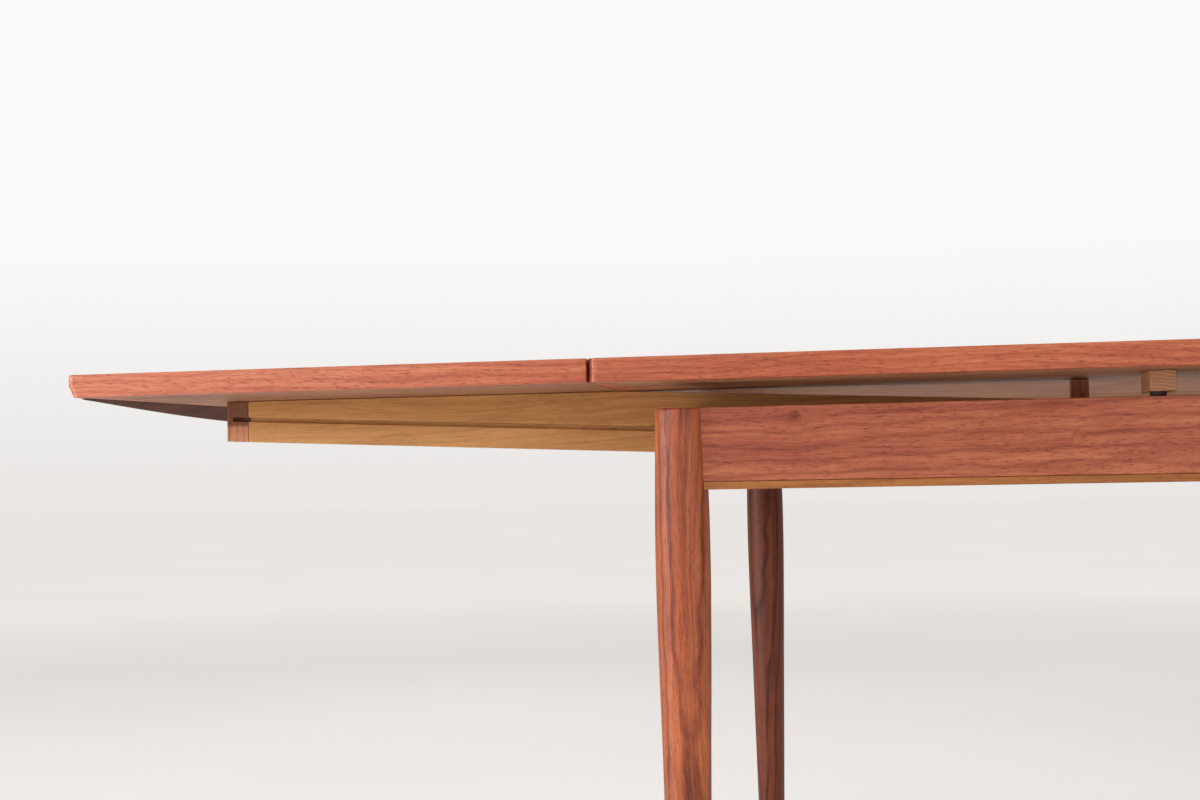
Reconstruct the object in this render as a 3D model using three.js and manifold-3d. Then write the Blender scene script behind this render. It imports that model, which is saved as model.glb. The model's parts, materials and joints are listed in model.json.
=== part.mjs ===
// Extendable dining table with two draw leaves, in millimetres, +Z up.
//
// The table is drawn about the centre of its main top: X along the table, -Y towards the front,
// Z = 0 on the floor.  The left leaf is drawn out and level with the main top.  The right leaf is
// stowed under the main top.  Each leaf sits on two sloping runners.  A runner slides along its own
// slope on a tongue of the guide bar beside it, so a leaf rises by its own thickness as it is drawn.
import * as THREE from 'three';
import { mergeVertices } from 'three/addons/utils/BufferGeometryUtils.js';
import Module from 'manifold-3d';

const wasm = await Module();
wasm.setup();

// ---- driving dimensions -------------------------------------------------------------------------
const TABLE_HEIGHT = 730;
const TOP_THICKNESS = 19;
const HALF_LENGTH = 655.5;           // main top, centre to end
const HALF_WIDTH = 445;             // main top, centre to the middle of a long edge
const LEAF_LENGTH = 448.6;           // joint to the leaf's corner
const SIDE_BOW = 16.6;              // fall of the bowed long edge at the leaf's corner
const END_BOW = 12;                 // rise of the bowed leaf end at the middle
const END_UNDERCUT = 4.7;           // lean of the lower part of the leaf's end face
const UNDERCUT_HEIGHT = 10;
const JOINT_GAP = 1.2;              // open joint between the drawn leaf and the main top
const FIT_GAP = 0.3;                // gap between glued or resting pieces
const CORNER_RADIUS = 8;            // upright corners of the top and of the leaf's outer end
const LIPPING_WIDTH = 15;           // solid wood edge round the veneered panels
const END_LIPPING_WIDTH = 32;

const LEAF_TRAVEL = 431.5;           // horizontal travel of a leaf
const RUNNER_SLOPE = 0.0447;        // rise of a runner per unit of travel
const RUNNER_DEPTH = 53;            // upright height of a runner
const RUNNER_THICKNESS = 24;
const RUNNER_REACH = 368;           // joint to the outer end of a runner's cap
const RUNNER_INSIDE = 396.8;        // joint to the inner end of a runner's stop
const CAP_THICKNESS = 20.4;
const STOP_THICKNESS = 13.7;
const BACK_RUNNER_PLANED = 2.4;     // wood planed off the lower edge of the back runners
const GROOVE_HEIGHT = 3.8;
const GROOVE_DEPTH = 5.5;
const GROOVE_ABOVE_BOTTOM = 18.6;   // lower edge of a runner to its groove
const GROOVE_END_INSET = 5.8;       // solid wood left at the cap's outer face
const LEFT_RUNNER_Y = 268.5;        // centre line of the left leaf's runners

const GUIDE_THICKNESS = 20;
const GUIDE_CLEARANCE = 1;
const GUIDE_TOP = 686;
const GUIDE_BOTTOM = 634;
const TONGUE_HEIGHT = 3.2;
const TONGUE_PROJECTION = 5;
const TONGUE_INNER_X = 170;

const LEG_X = 590;
const LEG_Y = 383.25;
const SIDE_APRON_FACE = LEG_Y + 10.65;
const SIDE_APRON_THICKNESS = 22;
const END_APRON_FACE = 594;
const END_APRON_THICKNESS = 20;
const APRON_HEIGHT = 66.1;
const APRON_LIP = 6.3;              // paler strip glued under each apron
const TOP_TO_APRON = 20.5;          // open space that takes a stowed leaf
const NOTCH_CLEARANCE = 1;
const NOTCH_FLOOR = 653.9;

const RAIL_HALF_LENGTH = 60;
const RAIL_HALF_WIDTH = 388;
const RAIL_NOTCH_TOP = 703.5;
const PEG_Y = 120;
const PEG_RADIUS = 9;
const PEG_BOTTOM = 670;
const WASHER_RADIUS = 17;
const WASHER_THICKNESS = 6;
const BLOCK_NEAR_X = 204;           // spacer blocks that stop a stowed leaf
const BLOCK_LENGTH = 20;
const BLOCK_OUTER_Y = 388;
const BLOCK_WIDTH = 50;
const BLOCK_HEIGHT = 16.3;

const GLIDE_HEIGHT = 3;
const GLIDE_RADIUS = 9.5;
const SKIRT_HALF_WIDTH = 407;
const SKIRT_DEPTH = 12;
const SKIRT_LEAN = 0.92;            // lean of the grip's outer face per unit of depth
const SKIRT_SHARPNESS = 1.2;

// ---- worked out from them -----------------------------------------------------------------------
const UNDERSIDE = TABLE_HEIGHT - TOP_THICKNESS;
const APRON_TOP = UNDERSIDE - TOP_TO_APRON;
const APRON_BOTTOM = APRON_TOP - APRON_HEIGHT;
const LEAF_JOINT = HALF_LENGTH + JOINT_GAP;
const LEAF_CORNER = LEAF_JOINT + LEAF_LENGTH;
const LEAF_DROP = LEAF_TRAVEL * RUNNER_SLOPE;
const GUIDE_Y = LEFT_RUNNER_Y + RUNNER_THICKNESS / 2 + GUIDE_CLEARANCE + GUIDE_THICKNESS / 2;
const RIGHT_RUNNER_Y = 2 * GUIDE_Y - LEFT_RUNNER_Y;
const RUNNER_OUTER_END = HALF_LENGTH + RUNNER_REACH;
const RUNNER_INNER_END = HALF_LENGTH - RUNNER_INSIDE;

// Radii of the turned leg, from the floor up.
const LEG_PROFILE = [
  [GLIDE_HEIGHT, 11.6], [GLIDE_HEIGHT + 2, 12.2], [60, 13], [120, 14.1], [180, 15.1], [246, 16.4],
  [310, 17.7], [372, 18.9], [420, 19.8], [468, 20.9], [510, 21.7], [555, 22.3], [600, 22.2],
  [640, 21.4], [APRON_TOP - 2.5, 20.4], [APRON_TOP, 18.6],
];
const LEG_SIDES = 32;

// ---- materials ----------------------------------------------------------------------------------
function wood(color, roughness) {
  return new THREE.MeshStandardMaterial({ color, roughness, metalness: 0 });
}

const TEAK_TOP = wood(0xb5644a, 0.42);
const TEAK_FRAME = wood(0xa15b47, 0.45);
const TEAK_LIP = wood(0xb46f46, 0.5);
const TEAK_DARK = wood(0x6c4534, 0.5);
const VENEER = wood(0x936e5a, 0.6);
const BEECH = wood(0xba8659, 0.6);
const BEECH_END = wood(0xab795a, 0.7);
const GLIDE = new THREE.MeshStandardMaterial({ color: 0x2b211c, roughness: 0.6, metalness: 0 });

// ---- solids -------------------------------------------------------------------------------------
function positionOnly(geometry) {
  const plain = geometry.clone();
  plain.deleteAttribute('normal');
  plain.deleteAttribute('uv');
  return mergeVertices(plain, 1e-4);
}

function toManifold(geometry) {
  const plain = positionOnly(geometry);
  return new wasm.Manifold(new wasm.Mesh({
    numProp: 3,
    vertProperties: new Float32Array(plain.attributes.position.array),
    triVerts: new Uint32Array(plain.index.array),
  }));
}

function fromManifold(solid) {
  const mesh = solid.getMesh();
  const geometry = new THREE.BufferGeometry();
  geometry.setAttribute('position', new THREE.BufferAttribute(new Float32Array(mesh.vertProperties), 3));
  geometry.setIndex(new THREE.BufferAttribute(new Uint32Array(mesh.triVerts), 1));
  geometry.computeVertexNormals();
  return geometry;
}

function cut(geometry, cutters) {
  const remove = (solid, cutter) => solid.subtract(toManifold(cutter));
  return fromManifold(cutters.reduce(remove, toManifold(geometry)));
}

function join(geometry, additions) {
  const add = (solid, added) => solid.add(toManifold(added));
  return fromManifold(additions.reduce(add, toManifold(geometry)));
}

// Turns a closed body's faces outwards if they face in.
function facedOut(geometry) {
  const { array: place } = geometry.attributes.position;
  const index = geometry.index.array;
  const corners = [new THREE.Vector3(), new THREE.Vector3(), new THREE.Vector3()];
  let volume = 0;
  for (let face = 0; face < index.length; face += 3) {
    corners.forEach((corner, turn) => corner.fromArray(place, 3 * index[face + turn]));
    volume += corners[0].dot(corners[1].cross(corners[2]));
  }
  if (volume < 0) {
    for (let face = 0; face < index.length; face += 3) {
      [index[face], index[face + 1]] = [index[face + 1], index[face]];
    }
  }
  geometry.computeVertexNormals();
  return geometry;
}

// A closed body skinned over rings of points, each ring with the same number of points.
// Its two end faces are flat: cut in plan where the rings are outlines, else a fan.
function skin(rings) {
  const count = rings[0].length;
  const position = rings.flat().flatMap((point) => [point.x, point.y, point.z]);
  const index = [];
  for (let ring = 0; ring < rings.length - 1; ring += 1) {
    for (let here = 0; here < count; here += 1) {
      const next = (here + 1) % count;
      const a = ring * count + here;
      const b = ring * count + next;
      index.push(a, b, b + count, a, b + count, a + count);
    }
  }
  const last = (rings.length - 1) * count;
  const flat = rings[0].map((point) => new THREE.Vector2(point.x, point.y));
  const upright = Math.abs(THREE.ShapeUtils.area(flat)) < 1;
  const faces = upright ? fan(count) : THREE.ShapeUtils.triangulateShape(flat, []);
  for (const [a, b, c] of faces) {
    index.push(a, c, b, last + a, last + b, last + c);
  }
  const geometry = new THREE.BufferGeometry();
  geometry.setAttribute('position', new THREE.Float32BufferAttribute(position, 3));
  geometry.setIndex(index);
  return facedOut(geometry);
}

function fan(count) {
  return Array.from({ length: count - 2 }, (_, corner) => [0, corner + 1, corner + 2]);
}

// A slab between a lower and an upper outline in plan, with the same number of points.
function slab(lower, upper, bottom, top) {
  const atHeight = (outline, z) => outline.map(([x, y]) => new THREE.Vector3(x, y, z));
  return skin([atHeight(lower, bottom), atHeight(upper, top)]);
}

// A profile in the X-Z plane, extruded along Y about a centre line.
function plank(profile, centreY, thickness) {
  const shape = new THREE.Shape(profile.map(([x, z]) => new THREE.Vector2(x, z)));
  const geometry = new THREE.ExtrudeGeometry(shape, { depth: thickness, bevelEnabled: false });
  geometry.rotateX(Math.PI / 2);
  geometry.translate(0, centreY + thickness / 2, 0);
  return geometry;
}

function inOrder(first, second) {
  return first < second ? [first, second] : [second, first];
}

function box(x0, x1, y0, y1, z0, z1) {
  const geometry = new THREE.BoxGeometry(x1 - x0, y1 - y0, z1 - z0);
  geometry.translate((x0 + x1) / 2, (y0 + y1) / 2, (z0 + z1) / 2);
  return geometry;
}

function turned(profile, x, y, sides, extraRadius = 0) {
  const points = profile.map(([z, radius]) => new THREE.Vector2(radius + extraRadius, z));
  points.unshift(new THREE.Vector2(0, profile[0][0]));
  points.push(new THREE.Vector2(0, profile[profile.length - 1][0]));
  const geometry = new THREE.LatheGeometry(points, sides);
  geometry.rotateX(Math.PI / 2);
  geometry.translate(x, y, 0);
  return geometry;
}

function mirroredX(geometry) {
  const mirrored = positionOnly(geometry);
  mirrored.scale(-1, 1, 1);
  return facedOut(mirrored);
}

function mirroredOutline(outline) {
  return outline.map(([x, y]) => [x, -y]).reverse();
}

function named(name, geometry, material) {
  const mesh = new THREE.Mesh(geometry, material);
  mesh.name = name;
  return mesh;
}

// ---- plan of the top: one continuous bowed edge over main top and drawn leaf ----------------------
function edgeY(x) {
  return HALF_WIDTH - SIDE_BOW * (x / LEAF_CORNER) ** 2;
}

function leafEndX(y) {
  return LEAF_CORNER + END_BOW * (1 - (y / edgeY(LEAF_CORNER)) ** 2);
}

function span(from, to, steps) {
  return Array.from({ length: steps + 1 }, (_, step) => from + ((to - from) * step) / steps);
}

// Quarter turn between two directions, as points round a centre.
function arc(centreX, centreY, radius, from, to, steps) {
  return span(from, to, steps).map((angle) => [
    centreX + radius * Math.cos(angle),
    centreY + radius * Math.sin(angle),
  ]);
}

// ---- frame: legs, aprons and what is fixed to them -----------------------------------------------
const table = new THREE.Group();
const SIDES = [['front', -1], ['back', 1]];
const ENDS = [['left', -1], ['right', 1]];

function legClearance(endSign, sideSign) {
  return turned(LEG_PROFILE, endSign * LEG_X, sideSign * LEG_Y, LEG_SIDES, FIT_GAP);
}

function addLegs() {
  for (const [side, sideSign] of SIDES) {
    for (const [end, endSign] of ENDS) {
      const leg = turned(LEG_PROFILE, endSign * LEG_X, sideSign * LEG_Y, LEG_SIDES);
      table.add(named(`leg_${side}_${end}`, leg, TEAK_FRAME));
      const glide = turned(
        [[0, GLIDE_RADIUS - 1], [1, GLIDE_RADIUS], [GLIDE_HEIGHT - FIT_GAP, GLIDE_RADIUS]],
        endSign * LEG_X, sideSign * LEG_Y, LEG_SIDES / 2,
      );
      table.add(named(`foot_glide_${side}_${end}`, glide, GLIDE));
    }
  }
}

function addSideAprons() {
  const reach = END_APRON_FACE - END_APRON_THICKNESS - FIT_GAP;
  for (const [side, sign] of SIDES) {
    const [y0, y1] = inOrder(sign * SIDE_APRON_FACE, sign * (SIDE_APRON_FACE - SIDE_APRON_THICKNESS));
    const legs = [legClearance(-1, sign), legClearance(1, sign)];
    const lipTop = APRON_BOTTOM + APRON_LIP;
    const board = box(-reach, reach, y0, y1, lipTop + FIT_GAP, APRON_TOP);
    const lip = box(-reach, reach, y0, y1, APRON_BOTTOM, lipTop);
    table.add(named(`side_apron_${side}`, cut(board, legs), TEAK_FRAME));
    table.add(named(`side_apron_lip_${side}`, cut(lip, legs), TEAK_LIP));
  }
}

function addEndAprons() {
  const reach = LEG_Y - 10;
  for (const [end, sign] of ENDS) {
    const [x0, x1] = inOrder(sign * END_APRON_FACE, sign * (END_APRON_FACE - END_APRON_THICKNESS));
    const legs = [legClearance(sign, -1), legClearance(sign, 1)];
    const runnerY = sign < 0 ? LEFT_RUNNER_Y : RIGHT_RUNNER_Y;
    const halfNotch = RUNNER_THICKNESS / 2 + NOTCH_CLEARANCE;
    const notches = [-runnerY, runnerY].map((y) => (
      box(x0 - 1, x1 + 1, y - halfNotch, y + halfNotch, NOTCH_FLOOR, APRON_TOP + 1)
    ));
    const lipTop = APRON_BOTTOM + APRON_LIP;
    const board = box(x0, x1, -reach, reach, lipTop + FIT_GAP, APRON_TOP);
    const lip = box(x0, x1, -reach, reach, APRON_BOTTOM, lipTop);
    table.add(named(`end_apron_${end}`, cut(board, [...legs, ...notches]), TEAK_FRAME));
    table.add(named(`end_apron_lip_${end}`, cut(lip, legs), TEAK_LIP));
  }
}

// Glue blocks in the corners of the frame, cut back where the round leg stands.
function addCornerBlocks() {
  const insideX = END_APRON_FACE - END_APRON_THICKNESS - FIT_GAP;
  const insideY = SIDE_APRON_FACE - SIDE_APRON_THICKNESS - FIT_GAP;
  const legCut = 5;
  const outline = [
    [insideX, insideY - 40], [insideX, insideY - legCut],
    [insideX - legCut + 1, insideY], [insideX - 38, insideY],
  ];
  const quarter = slab(outline, outline, APRON_BOTTOM + 15, APRON_TOP - 5);
  for (const [side, sideSign] of SIDES) {
    for (const [end, endSign] of ENDS) {
      const block = quarter.clone();
      if (sideSign < 0) {
        block.rotateZ(Math.PI);
      }
      const mirrored = sideSign === endSign ? block : mirroredX(block);
      table.add(named(`corner_block_${side}_${end}`, mirrored, BEECH));
    }
  }
}

// A bar of the guide tongue's section along a runner's slope. sign -1 rises to the left.
function slopingBar(sign, y0, y1, bottomAtJoint, height, outerX, innerX) {
  const zAt = (x) => bottomAtJoint - RUNNER_SLOPE * (x + HALF_LENGTH);
  const profile = [
    [outerX, zAt(outerX)], [innerX, zAt(innerX)],
    [innerX, zAt(innerX) + height], [outerX, zAt(outerX) + height],
  ];
  const bar = plank(profile, (y0 + y1) / 2, y1 - y0);
  return sign < 0 ? bar : mirroredX(bar);
}

const RUNNER_BOTTOM_AT_JOINT = UNDERSIDE - RUNNER_DEPTH;
const GROOVE_BOTTOM_AT_JOINT = RUNNER_BOTTOM_AT_JOINT + GROOVE_ABOVE_BOTTOM;

function addGuideBars() {
  const reach = END_APRON_FACE - END_APRON_THICKNESS - FIT_GAP;
  const bottom = GROOVE_BOTTOM_AT_JOINT + (GROOVE_HEIGHT - TONGUE_HEIGHT) / 2;
  const half = GUIDE_THICKNESS / 2;
  const root = 2;
  for (const [side, sign] of SIDES) {
    const bar = box(-reach, reach, sign * GUIDE_Y - half, sign * GUIDE_Y + half, GUIDE_BOTTOM, GUIDE_TOP);
    const tongues = ENDS.map(([, endSign]) => {
      const towards = endSign * sign;
      const face = sign * GUIDE_Y + towards * (half - root);
      const tip = sign * GUIDE_Y + towards * (half + TONGUE_PROJECTION);
      const [y0, y1] = inOrder(face, tip);
      return slopingBar(endSign, y0, y1, bottom, TONGUE_HEIGHT, -reach + 3, TONGUE_INNER_X);
    });
    table.add(named(`guide_bar_${side}`, join(bar, tongues), BEECH));
  }
}

// Fixed rail across the middle, notched for the runners' stops and bored for the top's pegs.
function addCentreRail() {
  const rail = box(
    -RAIL_HALF_LENGTH, RAIL_HALF_LENGTH, -RAIL_HALF_WIDTH, RAIL_HALF_WIDTH,
    APRON_TOP + FIT_GAP, UNDERSIDE - 2 * FIT_GAP,
  );
  const clear = RUNNER_THICKNESS / 2 + 3;
  const cutters = [];
  for (const [, sign] of SIDES) {
    const [y0, y1] = inOrder(sign * (LEFT_RUNNER_Y - clear), sign * (RIGHT_RUNNER_Y + clear));
    cutters.push(box(-RAIL_HALF_LENGTH - 1, RAIL_HALF_LENGTH + 1, y0, y1, APRON_TOP - 1, RAIL_NOTCH_TOP));
    const hole = PEG_RADIUS + 0.8;
    cutters.push(turned([[APRON_TOP - 1, hole], [TABLE_HEIGHT, hole]], 0, sign * PEG_Y, 24));
  }
  table.add(named('centre_rail', cut(rail, cutters), BEECH));
}

// ---- main top -----------------------------------------------------------------------------------
function addMainTop() {
  const inner = LIPPING_WIDTH + FIT_GAP;
  const panelX = HALF_LENGTH - inner;
  const xs = span(-panelX, panelX, 24);
  const rightHalf = xs.map((x) => [x, -(edgeY(x) - inner)]);
  const panel = [...rightHalf, ...mirroredOutline(rightHalf)];
  table.add(named('main_top_panel', slab(panel, panel, UNDERSIDE, TABLE_HEIGHT), VENEER));

  const r = CORNER_RADIUS;
  const cornerX = HALF_LENGTH - r;
  const cornerY = edgeY(HALF_LENGTH) - r;
  const outer = [
    ...arc(-cornerX, -cornerY, r, Math.PI, 1.5 * Math.PI, 6),
    ...span(-cornerX, cornerX, 24).slice(1, -1).map((x) => [x, -edgeY(x)]),
    ...arc(cornerX, -cornerY, r, 1.5 * Math.PI, 2 * Math.PI, 6),
  ];
  const innerEdge = span(HALF_LENGTH, -HALF_LENGTH, 24).map((x) => [x, -(edgeY(x) - LIPPING_WIDTH)]);
  const front = [...outer, ...innerEdge];
  table.add(named('main_top_edge_front', slab(front, front, UNDERSIDE, TABLE_HEIGHT), TEAK_TOP));
  const back = mirroredOutline(front);
  table.add(named('main_top_edge_back', slab(back, back, UNDERSIDE, TABLE_HEIGHT), TEAK_TOP));
  for (const [end, sign] of ENDS) {
    const endY = edgeY(HALF_LENGTH) - inner - 0.5;
    const [x0, x1] = inOrder(sign * (HALF_LENGTH - LIPPING_WIDTH), sign * HALF_LENGTH);
    table.add(named(`main_top_edge_${end}`, box(x0, x1, -endY, endY, UNDERSIDE, TABLE_HEIGHT), TEAK_TOP));
  }
}

function addTopFittings() {
  const blockTop = UNDERSIDE - FIT_GAP;
  for (const [side, sign] of SIDES) {
    const [y0, y1] = inOrder(sign * BLOCK_OUTER_Y, sign * (BLOCK_OUTER_Y - BLOCK_WIDTH));
    for (const [end, endSign] of ENDS) {
      const [x0, x1] = inOrder(endSign * BLOCK_NEAR_X, endSign * (BLOCK_NEAR_X + BLOCK_LENGTH));
      const block = box(x0, x1, y0, y1, blockTop - BLOCK_HEIGHT, blockTop);
      table.add(named(`spacer_block_${side}_${end}`, block, BEECH_END));
    }
    const peg = turned([[PEG_BOTTOM, PEG_RADIUS], [blockTop, PEG_RADIUS]], 0, sign * PEG_Y, 24);
    table.add(named(`top_peg_${side}`, peg, BEECH));
    const washerTop = PEG_BOTTOM - FIT_GAP;
    const washer = turned(
      [[washerTop - WASHER_THICKNESS, WASHER_RADIUS], [washerTop, WASHER_RADIUS]], 0, sign * PEG_Y, 24,
    );
    table.add(named(`peg_washer_${side}`, washer, BEECH));
  }
}

// ---- leaf, drawn as the left one in its drawn-out place and mirrored for the right one ------------
function leafPanel() {
  const from = LEAF_JOINT;
  const inner = LIPPING_WIDTH + FIT_GAP;
  const xs = span(LEAF_CORNER - END_LIPPING_WIDTH - FIT_GAP, from, 14);
  const edge = xs.map((x) => [-x, -(edgeY(x) - inner)]);
  const far = mirroredOutline(edge);
  const outline = [...edge, ...far];
  return slab(outline, outline, UNDERSIDE, TABLE_HEIGHT);
}

// Outline of a whole leaf. undercut moves the end face inwards.
function leafOutline(undercut) {
  const r = CORNER_RADIUS;
  const corner = LEAF_CORNER - undercut - r;
  const cornerY = edgeY(LEAF_CORNER) - r;
  const frontSide = span(corner, LEAF_JOINT, 14).slice(1).map((x) => [-x, -edgeY(x)]);
  const backSide = frontSide.map(([x, y]) => [x, -y]).reverse();
  const endFace = span(cornerY, -cornerY, 24).slice(1, -1).map((y) => [undercut - leafEndX(y), y]);
  return [
    ...backSide,
    ...arc(-corner, cornerY, r, 0.5 * Math.PI, Math.PI, 6),
    ...endFace,
    ...arc(-corner, -cornerY, r, Math.PI, 1.5 * Math.PI, 6),
    ...frontSide,
  ];
}

// A leaf's full shape: its end stands upright at the top and leans inwards below.
function wholeLeaf() {
  const full = leafOutline(0);
  const bend = UNDERSIDE + UNDERCUT_HEIGHT;
  const upper = slab(full, full, bend, TABLE_HEIGHT);
  const lower = slab(leafOutline(END_UNDERCUT), full, UNDERSIDE, bend);
  return join(upper, [lower]);
}

// A cutter as deep as the leaf over an outline in plan.
function leafCutter(outline) {
  return slab(outline, outline, UNDERSIDE - 1, TABLE_HEIGHT + 1);
}

const MITRE_ROOT_X = LEAF_CORNER - END_LIPPING_WIDTH;
const MITRE_ROOT_Y = edgeY(MITRE_ROOT_X) - LIPPING_WIDTH;
const BEYOND = 600;                 // well outside the leaf

// A point on the mitre between the end and a long lipping, from its root outwards.
function onMitre(sideSign, reach, shift) {
  const runX = LEAF_CORNER - MITRE_ROOT_X;
  const runY = edgeY(LEAF_CORNER) - MITRE_ROOT_Y;
  return [-(MITRE_ROOT_X + reach * runX) + shift, sideSign * (MITRE_ROOT_Y + reach * runY)];
}

function leafSideEdge() {
  const inside = span(MITRE_ROOT_X + 1, LEAF_JOINT - 1, 14).map((x) => [-x, -(edgeY(x) - LIPPING_WIDTH)]);
  const rest = [[-MITRE_ROOT_X - 1, BEYOND], ...inside, [1 - LEAF_JOINT, BEYOND]];
  const end = [
    onMitre(-1, 0, FIT_GAP), onMitre(-1, 2, FIT_GAP),
    [-LEAF_CORNER - END_LIPPING_WIDTH, BEYOND], [FIT_GAP - MITRE_ROOT_X, BEYOND],
  ].reverse();
  return cut(wholeLeaf(), [leafCutter(rest), leafCutter(end)]);
}

function leafEndEdge() {
  const rest = [
    [1 - LEAF_JOINT, -BEYOND], [1 - LEAF_JOINT, BEYOND],
    [onMitre(1, 2, 0)[0], BEYOND], onMitre(1, 2, 0), onMitre(1, 0, 0),
    onMitre(-1, 0, 0), onMitre(-1, 2, 0), [onMitre(-1, 2, 0)[0], -BEYOND],
  ];
  return cut(wholeLeaf(), [leafCutter(rest)]);
}

// Arched grip under the leaf's end: deepest at the middle, with its inner face sloping up.
function gripSkirt() {
  const top = UNDERSIDE - FIT_GAP;
  const rings = span(-SKIRT_HALF_WIDTH, SKIRT_HALF_WIDTH, 32).map((y) => {
    const fullness = Math.max(1 - (y / SKIRT_HALF_WIDTH) ** 2, 0) ** SKIRT_SHARPNESS;
    const depth = 0.8 + (SKIRT_DEPTH - 0.8) * fullness;
    const face = END_UNDERCUT + FIT_GAP - leafEndX(y);
    const footWidth = 1.5 + 0.6 * depth;
    const rootWidth = 3 + 3.95 * depth;
    return [
      new THREE.Vector3(face, y, top),
      new THREE.Vector3(face + SKIRT_LEAN * depth, y, top - depth),
      new THREE.Vector3(face + SKIRT_LEAN * depth + footWidth, y, top - depth),
      new THREE.Vector3(face + rootWidth, y, top),
    ];
  });
  return skin(rings);
}

function runnerBottom(x) {
  return RUNNER_BOTTOM_AT_JOINT - RUNNER_SLOPE * (x + HALF_LENGTH);
}

// Groove along one face of a runner. facing is the side of the runner's centre line it lies on.
function groove(centreY, facing) {
  const face = centreY + (facing * RUNNER_THICKNESS) / 2;
  const [y0, y1] = inOrder(face - facing * GROOVE_DEPTH, face + facing);
  const outer = -RUNNER_OUTER_END + GROOVE_END_INSET;
  return slopingBar(-1, y0, y1, GROOVE_BOTTOM_AT_JOINT, GROOVE_HEIGHT, outer, 1 - RUNNER_INNER_END);
}

// The cap, the bar and the stop of one runner, under the left leaf.
function runnerPieces(centreY, facing) {
  const lowerEdge = (x) => runnerBottom(x) + (centreY > 0 ? BACK_RUNNER_PLANED : 0);
  const topUnderLeaf = UNDERSIDE - FIT_GAP;
  const capInner = -RUNNER_OUTER_END + CAP_THICKNESS;
  const barOuter = capInner + FIT_GAP;
  const stopOuter = -RUNNER_INNER_END - STOP_THICKNESS;
  const barInner = stopOuter - FIT_GAP;
  const topOverFrame = (x) => topUnderLeaf - RUNNER_SLOPE * (x + HALF_LENGTH);
  const profiles = {
    cap: [
      [-RUNNER_OUTER_END, lowerEdge(-RUNNER_OUTER_END)], [capInner, lowerEdge(capInner)],
      [capInner, topUnderLeaf], [-RUNNER_OUTER_END, topUnderLeaf],
    ],
    bar: [
      [barOuter, lowerEdge(barOuter)], [barInner, lowerEdge(barInner)],
      [barInner, topOverFrame(barInner)], [-HALF_LENGTH, topUnderLeaf], [barOuter, topUnderLeaf],
    ],
    stop: [
      [stopOuter, lowerEdge(stopOuter)], [-RUNNER_INNER_END, lowerEdge(-RUNNER_INNER_END)],
      [-RUNNER_INNER_END, UNDERSIDE - 2 * FIT_GAP], [stopOuter, UNDERSIDE - 2 * FIT_GAP],
    ],
  };
  const grooveCut = groove(centreY, facing);
  return Object.fromEntries(Object.entries(profiles).map(([piece, profile]) => (
    [piece, cut(plank(profile, centreY, RUNNER_THICKNESS), [grooveCut])]
  )));
}

function addLeaf(end, sign) {
  const place = (geometry) => (sign < 0 ? geometry : mirroredX(geometry));
  const leaf = new THREE.Group();
  const runnerY = sign < 0 ? LEFT_RUNNER_Y : RIGHT_RUNNER_Y;
  const prefix = `${end}_leaf`;
  leaf.add(named(`${prefix}_panel`, place(leafPanel()), VENEER));
  leaf.add(named(`${prefix}_edge_end`, place(leafEndEdge()), TEAK_TOP));
  leaf.add(named(`${prefix}_grip`, place(gripSkirt()), TEAK_DARK));
  for (const [side, sideSign] of SIDES) {
    const edge = leafSideEdge();
    if (sideSign > 0) {
      edge.scale(1, -1, 1);
    }
    leaf.add(named(`${prefix}_edge_${side}`, place(facedOut(edge)), TEAK_TOP));
    const pieces = runnerPieces(sideSign * runnerY, sign < 0 ? sideSign : -sideSign);
    leaf.add(named(`${prefix}_runner_${side}`, place(pieces.bar), BEECH));
    leaf.add(named(`${prefix}_runner_cap_${side}`, place(pieces.cap), TEAK_DARK));
    leaf.add(named(`${prefix}_runner_stop_${side}`, place(pieces.stop), TEAK_DARK));
  }
  return leaf;
}

// ---- assembly -----------------------------------------------------------------------------------
addLegs();
addSideAprons();
addEndAprons();
addCornerBlocks();
addGuideBars();
addCentreRail();
addMainTop();
addTopFittings();
table.add(addLeaf('left', -1));
const rightLeaf = addLeaf('right', 1);
rightLeaf.position.set(-LEAF_TRAVEL, 0, -LEAF_DROP);
table.add(rightLeaf);

// The origin lies on the floor under the middle of the whole table as it stands.
table.position.x = LEAF_TRAVEL / 2;

const assembly = new THREE.Group();
assembly.add(table);
export default assembly;
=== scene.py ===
"""Looks of the draw-leaf dining table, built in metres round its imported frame."""
import json
import math

import bmesh
import bpy
from mathutils import Matrix, Vector


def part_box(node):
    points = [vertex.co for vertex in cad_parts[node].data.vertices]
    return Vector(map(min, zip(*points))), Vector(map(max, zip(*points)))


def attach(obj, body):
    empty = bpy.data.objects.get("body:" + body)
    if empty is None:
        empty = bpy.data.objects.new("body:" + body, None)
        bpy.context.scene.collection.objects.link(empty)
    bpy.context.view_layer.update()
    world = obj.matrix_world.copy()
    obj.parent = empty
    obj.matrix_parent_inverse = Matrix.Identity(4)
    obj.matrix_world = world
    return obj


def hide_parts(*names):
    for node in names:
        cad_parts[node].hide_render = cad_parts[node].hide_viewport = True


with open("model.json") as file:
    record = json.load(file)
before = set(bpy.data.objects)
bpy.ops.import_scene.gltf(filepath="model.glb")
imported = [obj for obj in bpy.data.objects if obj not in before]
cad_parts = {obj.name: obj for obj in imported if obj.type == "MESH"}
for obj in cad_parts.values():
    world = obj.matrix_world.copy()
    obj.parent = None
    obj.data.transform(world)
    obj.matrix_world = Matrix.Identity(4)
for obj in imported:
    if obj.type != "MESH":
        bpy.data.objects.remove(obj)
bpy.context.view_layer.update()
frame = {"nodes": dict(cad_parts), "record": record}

NODES = frame["nodes"]
BODY_OF = {
    node: body
    for body, nodes in frame["record"]["behaviour"]["bodies"].items()
    for node in nodes
}
SIDES = {"front": -1, "back": 1}      # with the sign of their Y
ENDS = ("left", "right")
MM = 0.001
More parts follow.
